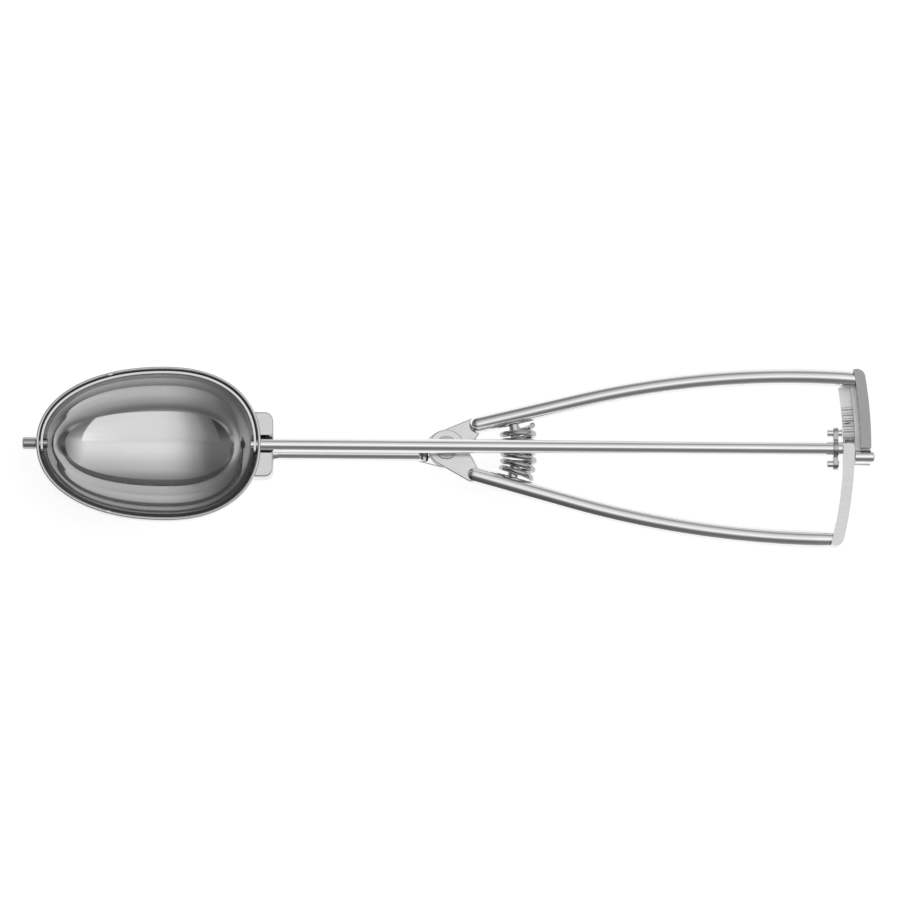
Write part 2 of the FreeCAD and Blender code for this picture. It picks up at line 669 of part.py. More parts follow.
def spring_self_gap():
    """The least clear distance between one turn of the wire and the next."""
    per_turn = 72
    count = per_turn * SPRING_TURNS
    points = [spring_point(i / count) for i in range(count + 1)]
    least = FAR
    for i, point in enumerate(points):
        for other in points[i + per_turn // 2:]:
            least = min(least, (other - point).Length)
    return least - 2 * SPRING_WIRE_RADIUS


def make_peg(handle, side):
    """A peg on a bar's inner side, inside the end of the spring."""
    centre, reach, low, high = spring_frame()
    angle = high if side > 0 else low
    foot = centre + Vector(reach * math.cos(angle), reach * math.sin(angle), PEG_Z - SPRING_Z)
    inward = Vector(math.sin(angle), -math.cos(angle), 0) * side
    length = PEG_LENGTH + BAR_RADIUS
    peg = Part.makeCylinder(PEG_RADIUS, length, foot - inward * BAR_RADIUS, inward)
    tip = foot + inward * PEG_LENGTH
    rim = edges_at(peg, lambda p, e: abs((p - tip).dot(inward)) < 1e-6)
    pieces = peg.makeFillet(PEG_EDGE, rim).cut(handle).Solids
    return max(pieces, key=lambda s: s.CenterOfMass.dot(inward))


def build():
    upper_handle = make_handle(
        UPPER_BAR_START,
        UPPER_BAR_ANGLE,
        UPPER_BAR_STRAIGHT,
        UPPER_BAR_BEND_RADIUS,
        UPPER_BAR_BEND_ANGLE,
        MIDDLE_PLATE_TOP,
        UPPER_ARM_INNER_RADIUS,
    )
    lower_handle = make_handle(
        LOWER_BAR_START,
        LOWER_BAR_ANGLE,
        LOWER_BAR_STRAIGHT,
        LOWER_BAR_BEND_RADIUS,
        LOWER_BAR_BEND_ANGLE,
        STACK_TOP,
        LOWER_ARM_INNER_RADIUS,
    )
    upper_arm = make_upper_arm()
    return {
        "bowl": make_bowl(),
        "bracket": make_bracket(),
        "shank": make_shank(),
        "pivot_rivet": make_rivet(),
        "pivot_washer_top": make_washer(STACK_TOP + WASHER_GAP),
        "pivot_washer_bottom": make_washer(SHANK_PLATE_BOTTOM - WASHER_THICKNESS),
        "wiper": make_wiper(),
        "front_pin": make_front_pin(),
        "drive_rod": make_drive_rod(),
        "pinion": make_pinion(),
        "stop_arm": make_stop_arm(),
        "stop_stud_long": make_stop_stud(1, STOP_LONG_STUD_END_X),
        "stop_stud_short": make_stop_stud(-1, STOP_SHORT_STUD_END_X),
        "upper_handle": upper_handle.cut(upper_arm),
        "upper_rack_arm": upper_arm,
        "guide_stud": make_guide_stud(),
        "lower_handle": lower_handle,
        "lower_rack_arm": make_lower_arm(),
        "spring": make_spring(),
        "spring_peg_upper": make_peg(upper_handle, 1),
        "spring_peg_lower": make_peg(lower_handle, -1),
    }


def main():
    os.makedirs("parts", exist_ok=True)
    parts = build()
    whole = Part.makeCompound(list(parts.values())).optimalBoundingBox(False, False)
    shift = Vector(-whole.Center.x, -whole.Center.y, -whole.ZMin)
    for name, shape in parts.items():
        shape.translate(shift)
        shape.exportStep(os.path.join("parts", name + ".step"))
        print(f"{name}: {len(shape.Solids)} solid, {shape.Volume:.1f} mm3, valid {shape.isValid()}")
    print(f"overall {whole.XLength:.2f} long, {whole.YLength:.2f} wide")
    print(f"drive rod axis through {shift.x:.4f}, {shift.y:.4f}, {shift.z:.4f}")
    print(f"pivot axis through {shift.x:.4f}, {shift.y + PIVOT_Y:.4f}")
    print(f"handle swing {SWEEP_ANGLE / TURNS_PER_SWING:.4f} degrees, ratio {TURNS_PER_SWING:.4f}")
    print(f"least gap between the spring's turns {spring_self_gap():.3f} mm")


main()
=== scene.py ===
import math
from collections import namedtuple

import bmesh
import bpy
from mathutils import Matrix, Vector


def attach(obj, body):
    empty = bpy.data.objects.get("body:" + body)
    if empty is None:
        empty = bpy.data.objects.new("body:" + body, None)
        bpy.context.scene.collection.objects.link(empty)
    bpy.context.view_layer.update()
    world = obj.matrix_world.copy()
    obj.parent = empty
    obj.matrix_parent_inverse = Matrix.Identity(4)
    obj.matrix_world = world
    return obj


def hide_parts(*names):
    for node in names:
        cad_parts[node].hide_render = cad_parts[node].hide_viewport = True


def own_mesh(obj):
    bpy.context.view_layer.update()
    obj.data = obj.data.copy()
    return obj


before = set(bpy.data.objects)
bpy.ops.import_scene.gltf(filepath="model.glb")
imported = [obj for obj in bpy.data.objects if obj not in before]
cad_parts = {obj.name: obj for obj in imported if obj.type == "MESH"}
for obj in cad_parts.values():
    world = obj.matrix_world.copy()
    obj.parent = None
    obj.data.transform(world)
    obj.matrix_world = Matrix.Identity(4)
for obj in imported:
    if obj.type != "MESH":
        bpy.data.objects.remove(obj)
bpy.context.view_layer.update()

# Sizes are in millimetres and angles in degrees, about the handle pivot: X from the bowl to the
# grip, Y towards the upper handle, and the drive rod's axis on Y = 0, Z = 0. TO_ROW moves the
# finished shapes to their place in the frame, in metres.
MM = 0.001
HAIR = 0.001
CORNER = 50.0
SOLID_CORNER = 30.0
TO_ROW = Matrix.Scale(MM, 4) @ Matrix.Translation((-0.7, 2.6357, 22.1004))

# The bowl's outline is two half ovals that meet at its widest place.
WIDEST_X = -80.2
HALF_WIDTH = 22.1
FRONT_LENGTH, FRONT_FULLNESS = 36.8, 2.15
REAR_LENGTH, REAR_FULLNESS = 27.4, 2.25
OUTLINE_STEPS = 84
STEPS_ROUND = 176
BOWL_WALL = 0.9
BOWL_FRONT_HOLE = 1.35
RIM_HEIGHT = 2.6
LIP_BOTTOM = 2.1
LIP_ROUND = 0.42

WIPER_OUTSIDE = BOWL_WALL + 0.4
WIPER_INSIDE = BOWL_WALL + 1.0
WIPER_HALF_WIDTH = 2.5
WIPER_TAB_END = -2.7
WIPER_CORNER = 1.2
WIPER_REAR_HOLE = 1.5
WIPER_FRONT_HOLE = 1.3

ROD_RADIUS = 2.0
ROD_CLEARANCE = 0.05
ROD_FRONT_X = WIDEST_X + REAR_LENGTH - BOWL_WALL - 0.35
ROD_REAR_X = 113.4
ROD_SPIGOT_RADIUS = 1.5
ROD_FRONT_SPIGOT = 1.8
ROD_REAR_SPIGOT = 2.8
ROD_EDGE = 0.15
ROD_STEPS = 60

PLATE_THICKNESS = 1.6
PLATE_GAP = 0.1
LOWER_PLATE_TOP = -5.2
UPPER_PLATE_TOP = LOWER_PLATE_TOP - PLATE_THICKNESS - PLATE_GAP
PLATE_EDGE = 0.35
EYE_RADIUS = 5.2
EYE_HOLE = 2.05
PLATE_END_RADIUS = 2.3
PLATE_SETBACK = 0.8

Bar = namedtuple("Bar", "start angle straight bend_radius bend")
UPPER_BAR = Bar((9.0, 6.8), 13.3, 29.3, 265.0, 16.2)
LOWER_BAR = Bar((8.0, -7.6), -15.6, 29.0, 286.0, 14.6)
BAR_RADIUS = 2.5
BAR_PIVOT_Z = -7.4
BAR_RISE = 3.58
BAR_PINCH = 4.5
PINCH_ASIDE = 0.10
PINCH_UPWARDS = 0.14
UPPER_ARM_RADIUS = 118.0
LOWER_ARM_RADIUS = 112.9
ARM_OVERLAP = 0.25
WEB_MARGIN = 0.4

SPRING_X, SPRING_Z = 20.8, -7.9
SPRING_COIL, SPRING_WIRE, SPRING_TURNS = 4.5, 0.8, 6
SPRING_END_GAP = 0.1
SPRING_END_EDGE = 0.15


# Finishes

def node(tree, kind, **values):
    """A shader node with its sockets and properties set by name."""
    made = tree.nodes.new("ShaderNode" + kind)
    for key, value in values.items():
        if key in made.inputs:
            made.inputs[key].default_value = value
        else:
            setattr(made, key, value)
    return made


# The noise that marks the steel runs from about 0.3 to 0.7.
NOISE_LOW, NOISE_HIGH = 0.3, 0.7
BLOTCHES = 55.0


def steel(name, shade, roughness, lines, line_depth, spread, stain=0.05, metal_share=1.0):
    """Bare stainless steel. lines is how dense the polishing lines are along X, Y and Z."""
    material = bpy.data.materials.new(name)
    material.use_nodes = True
    tree = material.node_tree
    tree.nodes.clear()
    link = tree.links.new
    out = node(tree, "OutputMaterial")
    metal = node(tree, "BsdfPrincipled", Metallic=metal_share)
    link(metal.outputs["BSDF"], out.inputs["Surface"])
    place = node(tree, "TexCoord")

    stretch = node(tree, "Mapping", Scale=lines)
    link(place.outputs["Object"], stretch.inputs["Vector"])
    scratches = node(tree, "TexNoise", Scale=1.0, Detail=6.0, Roughness=0.65)
    link(stretch.outputs["Vector"], scratches.inputs["Vector"])
    blotches = node(tree, "TexNoise", Scale=BLOTCHES, Detail=4.0)
    link(place.outputs["Object"], blotches.inputs["Vector"])

    tone = node(tree, "ValToRGB")
    dark, light = tone.color_ramp.elements
    dark.position, light.position = NOISE_LOW, NOISE_HIGH
    stained = shade * (1 - stain)
    dark.color = (stained, stained, stained, 1)
    light.color = (shade, shade, shade * 0.995, 1)
    link(blotches.outputs["Fac"], tone.inputs["Fac"])
    link(tone.outputs["Color"], metal.inputs["Base Color"])

    gloss = node(tree, "MapRange")
    gloss.inputs["From Min"].default_value = NOISE_LOW
    gloss.inputs["From Max"].default_value = NOISE_HIGH
    gloss.inputs["To Min"].default_value = roughness
    gloss.inputs["To Max"].default_value = roughness + spread
    link(scratches.outputs["Fac"], gloss.inputs["Value"])
    link(gloss.outputs["Result"], metal.inputs["Roughness"])

    relief = node(tree, "Bump", Strength=1.0, Distance=line_depth)
    link(scratches.outputs["Fac"], relief.inputs["Height"])
    link(relief.outputs["Normal"], metal.inputs["Normal"])
    return material


POLISHED_BOWL = steel(
    "polished_bowl_steel", 0.66, 0.04, (900, 70, 70), 2.0e-7, 0.04, metal_share=0.93
)
WIPER_STRIP = steel("wiper_strip_steel", 0.66, 0.06, (120, 120, 1500), 4.0e-7, 0.06)
DRAWN_BAR = steel("drawn_bar_steel", 0.88, 0.05, (45, 1500, 1500), 4.0e-7, 0.05)
LINK_PLATE = steel("link_plate_steel", 0.66, 0.14, (500, 900, 700), 8.0e-7, 0.1)
PRESSED_PLATE = steel("pressed_plate_steel", 0.64, 0.14, (300, 1800, 700), 1.2e-6, 0.12)
# The upper rack arm's strip in a darker tone than the same pressed steel elsewhere: painted shade.
ARM_PAINTED_SHADE = steel("arm_steel_painted_shade", 0.36, 0.20, (1800, 300, 700), 1.2e-6, 0.12)
# The upper rack arm's web and rack in a near-white tone: a painted highlight.
WEB_PAINTED_HIGHLIGHT = steel("web_steel_painted_highlight", 0.93, 0.40, (900, 900, 900), 8.0e-7, 0.10)
# The washers in a darker tone than the other turned steel: painted shade, standing in for the rod's
# shadow and dark reflection on them.
WASHER_PAINTED_SHADE = steel("washer_steel_painted_shade", 0.44, 0.10, (900, 900, 300), 8.0e-7, 0.08)
RIVET_FINISH = steel("turned_rivet_steel", 0.60, 0.09, (900, 900, 300), 8.0e-7, 0.08)
GEAR_FINISH = steel("cut_gear_steel", 0.50, 0.10, (1500, 400, 400), 1.4e-6, 0.12, 0.12)
SPRING_WIRE_FINISH = steel("spring_wire_steel", 0.50, 0.07, (700, 700, 700), 1.0e-6, 0.1, 0.12)


# Shapes

def rounded(mesh, edges, width, steps):
    """The given edges of the mesh, rounded over."""
    bmesh.ops.bevel(
        mesh,
        geom=edges,
        offset=width,
        offset_type="OFFSET",
        segments=steps,
        profile=0.5,
        affect="EDGES",
        material=-1,
        clamp_overlap=True,
    )


def edges_over(mesh, angle):
    """The mesh's edges between faces that turn by more than an angle."""
    least = math.radians(angle)
    return [e for e in mesh.edges if e.is_manifold and e.calc_face_angle() > least]


def piece(name, mesh, body, slot, finish, *nodes, place=TO_ROW, sharp=38.0):
    """The finished piece: in its place, smooth, dressed and riding on its body."""
    bmesh.ops.transform(mesh, matrix=place, verts=mesh.verts)
    for face in mesh.faces:
        face.smooth = True
    for edge in mesh.edges:
        edge.smooth = not edge.is_manifold or edge.calc_face_angle() < math.radians(sharp)
    data = bpy.data.meshes.new(name)
    mesh.to_mesh(data)
    mesh.free()
    made = bpy.data.objects.new(name, data)
    bpy.context.scene.collection.objects.link(made)
    for coat in finish if isinstance(finish, tuple) else (finish,):
        data.materials.append(coat)
    even = made.modifiers.new("even_shading", "WEIGHTED_NORMAL")
    even.keep_sharp = True
    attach(made, body)
    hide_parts(*nodes)
    return made


def turned(profile, steps=64):
    """A turned form about X from its (x, radius) profile, open or closed on the axis."""
    mesh = bmesh.new()
    points = [mesh.verts.new((x, 0, -r)) for x, r in profile]
    closed = profile[0][1] > 1e-6
    pairs = list(zip(points, points[1:] + points[:1])) if closed else list(zip(points, points[1:]))
    edges = [mesh.edges.new(pair) for pair in pairs]
    bmesh.ops.spin(
        mesh,
        geom=points + edges,
        cent=(0, 0, 0),
        axis=(1, 0, 0),
        angle=2 * math.pi,
        steps=steps,
        use_merge=True,
        use_duplicate=False,
    )
    bmesh.ops.remove_doubles(mesh, verts=mesh.verts, dist=1e-4)
    bmesh.ops.recalc_face_normals(mesh, faces=mesh.faces)
    return mesh


def egg_point(angle, inset):
    """A point inset from the bowl's outline, as (x, radius); angle 0 is the rear pole."""
    ahead = math.cos(angle) < 0
    length = FRONT_LENGTH if ahead else REAR_LENGTH
    fullness = FRONT_FULLNESS if ahead else REAR_FULLNESS
    along = abs(math.cos(angle)) ** (2 / fullness)
    aside = abs(math.sin(angle)) ** (2 / fullness)
    outward = Vector((along ** (fullness - 1) / length, aside ** (fullness - 1) / HALF_WIDTH))
    outward.normalize()
    x = length * along - outward.x * inset
    return WIDEST_X + (-x if ahead else x), HALF_WIDTH * aside - outward.y * inset


def pole_angle(inset, radius, low, high):
    """The angle, between low and high, at which the outline has a given radius."""
    rising = egg_point(high, inset)[1] > egg_point(low, inset)[1]
    for _ in range(40):
        middle = (low + high) / 2
        if (egg_point(middle, inset)[1] < radius) == rising:
            low = middle
        else:
            high = middle
    return low


def egg_run(inset, rear_hole, front_hole):
    """The outline from the rear hole to the front hole."""
    first = pole_angle(inset, rear_hole, 0.001, math.pi / 2)
    last = pole_angle(inset, front_hole, math.pi / 2, math.pi - 0.001)
    step = (last - first) / OUTLINE_STEPS
    return [egg_point(first + step * i, inset) for i in range(OUTLINE_STEPS + 1)]


def egg_wall(outer, inner, rear_hole, front_hole):
    """The wall between two insets of the bowl's outline, all the way round."""
    outside = egg_run(outer, rear_hole, front_hole)
    inside = egg_run(inner, rear_hole, front_hole)
    return turned(outside + inside[::-1], STEPS_ROUND)


def sliced(mesh, point, normal):
    """The mesh cut off flat beyond a plane, and the open edges that this leaves."""
    bmesh.ops.bisect_plane(
        mesh,
        geom=mesh.verts[:] + mesh.edges[:] + mesh.faces[:],
        plane_co=point,
        plane_no=normal,
        clear_outer=True,
        dist=1e-5,
    )
    bmesh.ops.remove_doubles(mesh, verts=mesh.verts, dist=0.01)
    return [e for e in mesh.edges if e.is_boundary]


def bowl_shell():
    """The bowl below its lip, and the lip, rounded right over."""
    mesh = egg_wall(0, BOWL_WALL, ROD_RADIUS + ROD_CLEARANCE, BOWL_FRONT_HOLE)
    rim = sliced(mesh, (0, 0, LIP_BOTTOM), (0, 0, 1))
    grown = bmesh.ops.extrude_edge_only(mesh, edges=rim)["geom"]
    raised = [g for g in grown if isinstance(g, bmesh.types.BMVert)]
    bmesh.ops.translate(mesh, verts=raised, vec=(0, 0, RIM_HEIGHT - LIP_BOTTOM))
    bmesh.ops.bridge_loops(mesh, edges=[e for e in mesh.edges if e.is_boundary])
    bmesh.ops.recalc_face_normals(mesh, faces=mesh.faces)
    corners = edges_over(mesh, CORNER)
    top = [e for e in corners if min(v.co.z for v in e.verts) > RIM_HEIGHT - HAIR]
    rounded(mesh, top, LIP_ROUND, 6)
    lip = mesh.copy()
    for half, above in ((mesh, True), (lip, False)):
        unwanted = [f for f in half.faces if (f.calc_center_median().z > LIP_BOTTOM) == above]
        bmesh.ops.delete(half, geom=unwanted, context="FACES")
    return mesh, lip


def wiper_band():
    """The thin band inside the bowl, cut to its width and to two tabs with round corners."""
    mesh = egg_wall(WIPER_OUTSIDE, WIPER_INSIDE, WIPER_REAR_HOLE, WIPER_FRONT_HOLE)
    cuts = [((0, WIPER_TAB_END, 0), (0, -1, 0))]
    for side in (1, -1):
        cuts.append(((0, 0, side * WIPER_HALF_WIDTH), (0, 0, side)))
    for side in (1, -1):
        middle = Vector((0, WIPER_TAB_END + WIPER_CORNER, side * (WIPER_HALF_WIDTH - WIPER_CORNER)))
        for lean in (22.5, 45.0, 67.5):
            slope = math.radians(lean)
            out = Vector((0, -math.sin(slope), side * math.cos(slope)))
            cuts.append((middle + out * WIPER_CORNER, out))
    for point, normal in cuts:
        opened = sliced(mesh, point, normal)
        bmesh.ops.triangle_fill(mesh, edges=opened, use_beauty=True, use_dissolve=True)
    bmesh.ops.recalc_face_normals(mesh, faces=mesh.faces)
    return mesh


def lofted(stations, around=40):
    """A closed bar through ring-shaped sections, each given as a function of the turn angle."""
    mesh = bmesh.new()
    number = mesh.verts.layers.int.new("number")
    ring = bmesh.ops.create_circle(mesh, cap_ends=True, segments=around, radius=1.0)["verts"]
    for i, vert in enumerate(ring):
        vert[number] = i
        vert.co = stations[0](2 * math.pi * i / around)
    edges = list({e for v in ring for e in v.link_edges})
    for station in stations[1:]:
        grown = bmesh.ops.extrude_edge_only(mesh, edges=edges)["geom"]
        ring = [g for g in grown if isinstance(g, bmesh.types.BMVert)]
        for vert in ring:
            vert.co = station(2 * math.pi * vert[number] / around)
        edges = list({e for v in ring for e in v.link_edges if e.is_boundary})
    bmesh.ops.contextual_create(mesh, geom=edges)
    bmesh.ops.remove_doubles(mesh, verts=mesh.verts, dist=1e-4)
    bmesh.ops.recalc_face_normals(mesh, faces=mesh.faces)
    return mesh


def bar_place(bar, travel):
    """A point and heading on a handle bar's axis: straight first, then bending back level."""
    x, y = bar.start
    heading = math.radians(bar.angle)
    side = -1 if bar.angle > 0 else 1
    run = min(travel, bar.straight)
    x += run * math.cos(heading)
    y += run * math.sin(heading)
    if travel > bar.straight:
        turned_to = heading + side * (travel - bar.straight) / bar.bend_radius
        x += bar.bend_radius * side * (math.sin(turned_to) - math.sin(heading))
        y -= bar.bend_radius * side * (math.cos(turned_to) - math.cos(heading))
        heading = turned_to
    level = Matrix.Translation((0, 0, BAR_PIVOT_Z))
    rise = level @ Matrix.Rotation(-math.radians(BAR_RISE), 4, "Y")
    point = rise @ Vector((x, y, 0))
    ahead = rise.to_3x3() @ Vector((math.cos(heading), math.sin(heading), 0))
    return point, ahead


def bar_section(bar, travel, wide, high):
    """The ring of a bar at a point of its axis, wide across the handle and high upwards."""
    point, ahead = bar_place(bar, travel)
    across = Vector((0, 0, 1)).cross(ahead).normalized()
    up = ahead.cross(across)
    return lambda a: point + across * (wide * math.cos(a)) + up * (high * math.sin(a))


def reach_to(bar, radius):
    """How far along a bar its axis meets a radius about the pivot."""
    low, high = 0.0, bar.straight + 1.2 * bar.bend_radius * math.radians(bar.bend)
    for _ in range(40):
        middle = (low + high) / 2
        point = bar_place(bar, middle)[0]
        if math.hypot(point.x, point.y) < radius:
            low = middle
        else:
            high = middle
    return low


def handle_bar(bar, arm_radius):
    """The round bar of a handle, from its rounded nose to the cross arm, where it is pinched."""
    sections = []
    for i in range(1, 13):
        turn = math.pi / 2 * i / 12
        size = BAR_RADIUS * math.sin(turn)
        sections.append(bar_section(bar, -BAR_RADIUS * math.cos(turn), size, size))
    pinched_from = reach_to(bar, arm_radius + ARM_OVERLAP) - BAR_PINCH
    for i in range(1, 91):
        sections.append(bar_section(bar, pinched_from * i / 90, BAR_RADIUS, BAR_RADIUS))
    for i in range(1, 9):
        share = i / 8
        ease = share * share * (3 - 2 * share)
        wide = BAR_RADIUS * (1 - PINCH_ASIDE * ease)
        tall = BAR_RADIUS * (1 - PINCH_UPWARDS * ease)
        sections.append(bar_section(bar, pinched_from + BAR_PINCH * share, wide, tall))
    return lofted(sections, 48)


def arc(mesh, centre, radius, begin, end, steps):
    """Points of an arc in a level plane."""
    points = []
    for i in range(steps + 1):
        turn = begin + (end - begin) * i / steps
        offset = Vector((math.cos(turn), math.sin(turn), 0)) * radius
        points.append(mesh.verts.new(centre + offset))
    return points


def pivot_plate(end, bottom, top):
    """A flat link with a round eye about the pivot, its upper and lower edges eased."""
    eye_centre, end_centre = Vector((0, 0, bottom)), Vector((end.x, end.y, bottom))
    reach = end_centre - eye_centre
    heading = math.atan2(reach.y, reach.x)
    spread = math.acos((EYE_RADIUS - PLATE_END_RADIUS) / reach.length)
    full = 2 * math.pi
    mesh = bmesh.new()
    outline = arc(mesh, eye_centre, EYE_RADIUS, heading + spread, heading + full - spread, 48)
    outline += arc(mesh, end_centre, PLATE_END_RADIUS, heading - spread, heading + spread, 16)
    hole = arc(mesh, eye_centre, EYE_HOLE, 0, full * 47 / 48, 47)
    edges = [mesh.edges.new(pair) for pair in zip(outline, outline[1:] + outline[:1])]
    edges += [mesh.edges.new(pair) for pair in zip(hole, hole[1:] + hole[:1])]
    flat = bmesh.ops.triangle_fill(mesh, edges=edges, use_beauty=True, use_dissolve=True)["geom"]
    faces = [g for g in flat if isinstance(g, bmesh.types.BMFace)]
    grown = bmesh.ops.extrude_face_region(mesh, geom=faces, use_keep_orig=True)["geom"]
    raised = [g for g in grown if isinstance(g, bmesh.types.BMVert)]
    bmesh.ops.translate(mesh, verts=raised, vec=(0, 0, top - bottom))
    bmesh.ops.recalc_face_normals(mesh, faces=mesh.faces)
    corners = edges_over(mesh, CORNER)
    clear = EYE_HOLE + PLATE_EDGE
    outer = [e for e in corners if min(v.co.xy.length for v in e.verts) > clear]
    rounded(mesh, outer, PLATE_EDGE, 4)
    return mesh


def together(*meshes):
    """Several meshes as one."""
    whole = bmesh.new()
    for mesh in meshes:
        data = bpy.data.meshes.new("part")
        mesh.to_mesh(data)
        mesh.free()
        whole.from_mesh(data)
        bpy.data.meshes.remove(data)
    return whole


def handle(bar, plate_top, arm_radius):
    """A handle's bar, and its pivot plate in the second finish."""
    slope = math.radians(bar.angle)
    back = Vector((math.cos(slope), math.sin(slope), 0)) * PLATE_SETBACK
    plate = pivot_plate(Vector((*bar.start, 0)) - back, plate_top - PLATE_THICKNESS, plate_top)
    for face in plate.faces:
        face.material_index = 1
    return together(plate, handle_bar(bar, arm_radius))


def spring_frame():
    """The centre of the spring's arc and the angles of its two ends about that centre."""
    sides = []
    for bar, side in ((UPPER_BAR, 1), (LOWER_BAR, -1)):
        slope = math.tan(math.radians(bar.angle))
        middle = bar.start[1] + (SPRING_X - bar.start[0]) * slope
        sides.append((slope, middle - side * BAR_RADIUS / math.cos(math.radians(bar.angle))))
    (upper_slope, upper_y), (lower_slope, lower_y) = sides
    reach = (upper_y - lower_y) / (upper_slope - lower_slope)
    centre = Vector((SPRING_X - reach, upper_y - reach * upper_slope, SPRING_Z))
    inset = (SPRING_WIRE + SPRING_END_GAP) / reach
    return centre, reach, math.atan(lower_slope) + inset, math.atan(upper_slope) - inset


def spring_point(share):
    """A point on the wire's axis, from the lower end (0) to the upper one (1)."""
    centre, reach, low, high = spring_frame()
    along = low + (high - low) * share
    turn = 2 * math.pi * SPRING_TURNS * share
    radius = reach + SPRING_COIL * math.cos(turn)
    height = SPRING_COIL * math.sin(turn)
    return centre + Vector((radius * math.cos(along), radius * math.sin(along), height))


def spring_coil():
    """The spring's wire, its coils standing on the arc between the two bars."""
    sections = []
    steps = SPRING_TURNS * 40
    centre, reach, low, high = spring_frame()

    def ring(share, size, push=0.0):
        ahead = (spring_point(share + 1e-4) - spring_point(share - 1e-4)).normalized()
        along = low + (high - low) * share
        axis = centre + reach * Vector((math.cos(along), math.sin(along), 0))
        out = spring_point(share) - axis
        out = (out - ahead * out.dot(ahead)).normalized()
        side = ahead.cross(out)
        point = spring_point(share) + ahead * push
        return lambda a: point + (out * math.cos(a) + side * math.sin(a)) * size

    sections.append(ring(0, SPRING_WIRE - SPRING_END_EDGE, -0.02))
    sections += [ring(i / steps, SPRING_WIRE) for i in range(steps + 1)]
    sections.append(ring(1, SPRING_WIRE - SPRING_END_EDGE, 0.02))
    return lofted(sections, 16)


def from_solid(name, body, slot, finish, edge=0.12, sharp=38.0, inside=0.0):
    """The CAD piece itself, its facets joined up and its sharp edges rounded.

    Within the radius given as inside, about the pivot, it takes the second of two finishes.
    """
    mesh = bmesh.new()
    mesh.from_mesh(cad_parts[name].data)
    bmesh.ops.remove_doubles(mesh, verts=mesh.verts, dist=2e-6)
    bmesh.ops.dissolve_limit(
        mesh, angle_limit=math.radians(0.6), verts=mesh.verts, edges=mesh.edges, delimit={"NORMAL"}
    )
    if edge:
        rounded(mesh, edges_over(mesh, SOLID_CORNER), edge * MM, 3)
    pivot = TO_ROW.translation
    for face in mesh.faces:
        centre = face.calc_center_median() - pivot
        face.material_index = int(math.hypot(centre.x, centre.y) < inside * MM)
    return piece(
        name + "_finished", mesh, body, slot, finish, name, place=Matrix.Identity(4), sharp=sharp
    )


# The pieces

shell, lip = bowl_shell()
piece("bowl_shell", shell, "frame", "bowl_steel", POLISHED_BOWL, "bowl")
piece("bowl_lip", lip, "frame", "bowl_steel", POLISHED_BOWL, "bowl")
piece("wiper_band", wiper_band(), "wiper_drive", "wiper_steel", WIPER_STRIP, "wiper", sharp=50.0)

from_solid("bracket", "frame", "pressed_steel", PRESSED_PLATE)
from_solid("shank", "frame", "bar_steel", DRAWN_BAR)
from_solid("pivot_rivet", "frame", "rivet_steel", RIVET_FINISH, edge=0.08)
# The pivot washers take the darker tone of painted shade.
from_solid("pivot_washer_top", "frame", "rivet_steel", WASHER_PAINTED_SHADE, edge=0.2)
from_solid("pivot_washer_bottom", "frame", "rivet_steel", WASHER_PAINTED_SHADE, edge=0.2)

spigot_edge = ROD_SPIGOT_RADIUS - ROD_EDGE
rod_edge = ROD_RADIUS - ROD_EDGE
rod = [
    (ROD_FRONT_X - ROD_FRONT_SPIGOT, 0),
    (ROD_FRONT_X - ROD_FRONT_SPIGOT, spigot_edge),
    (ROD_FRONT_X - ROD_FRONT_SPIGOT + ROD_EDGE, ROD_SPIGOT_RADIUS),
    (ROD_FRONT_X, ROD_SPIGOT_RADIUS),
    (ROD_FRONT_X, rod_edge),
]
rod_length = ROD_REAR_X - ROD_FRONT_X - 2 * ROD_EDGE
for i in range(ROD_STEPS + 1):
    rod.append((ROD_FRONT_X + ROD_EDGE + rod_length * i / ROD_STEPS, ROD_RADIUS))
rod += [
    (ROD_REAR_X, rod_edge),
    (ROD_REAR_X, ROD_SPIGOT_RADIUS),
    (ROD_REAR_X + ROD_REAR_SPIGOT - ROD_EDGE, ROD_SPIGOT_RADIUS),
    (ROD_REAR_X + ROD_REAR_SPIGOT, spigot_edge),
    (ROD_REAR_X + ROD_REAR_SPIGOT, 0),
]
piece("drive_rod_turned", turned(rod), "wiper_drive", "bar_steel", DRAWN_BAR, "drive_rod")

from_solid("front_pin", "wiper_drive", "bar_steel", GEAR_FINISH, edge=0.08)
from_solid("pinion", "wiper_drive", "gear_steel", GEAR_FINISH, edge=0.06)
from_solid("stop_arm", "wiper_drive", "gear_steel", GEAR_FINISH, edge=0.12)
from_solid("stop_stud_long", "wiper_drive", "bar_steel", DRAWN_BAR, edge=0.15)
from_solid("stop_stud_short", "wiper_drive", "bar_steel", DRAWN_BAR, edge=0.15)

piece(
    "upper_handle_bar",
    handle(UPPER_BAR, UPPER_PLATE_TOP, UPPER_ARM_RADIUS),
    "upper_grip",
    "bar_steel",
    (DRAWN_BAR, LINK_PLATE),
    "upper_handle",
)
piece(
    "lower_handle_bar",
    handle(LOWER_BAR, LOWER_PLATE_TOP, LOWER_ARM_RADIUS),
    "lower_grip",
    "bar_steel",
    (DRAWN_BAR, LINK_PLATE),
    "lower_handle",
)
# The upper rack arm: its strip in painted shade, and its web and rack, within the radius, in a painted
# highlight.
from_solid(
    "upper_rack_arm",
    "upper_grip",
    "pressed_steel",
    (ARM_PAINTED_SHADE, WEB_PAINTED_HIGHLIGHT),
    edge=0.15,
    # Inside this radius the arm takes the painted highlight.
    inside=UPPER_ARM_RADIUS - WEB_MARGIN,
)
from_solid("lower_rack_arm", "lower_grip", "pressed_steel", PRESSED_PLATE, edge=0.1)
from_solid("guide_stud", "upper_grip", "bar_steel", DRAWN_BAR, edge=0.15)
from_solid("spring_peg_upper", "upper_grip", "rivet_steel", RIVET_FINISH, edge=0.0)
from_solid("spring_peg_lower", "lower_grip", "rivet_steel", RIVET_FINISH, edge=0.0)

coil = piece(
    "spring_coil", spring_coil(), "lower_grip", "spring_steel", SPRING_WIRE_FINISH, "spring", sharp=60.0
)
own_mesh(coil)


# Studio

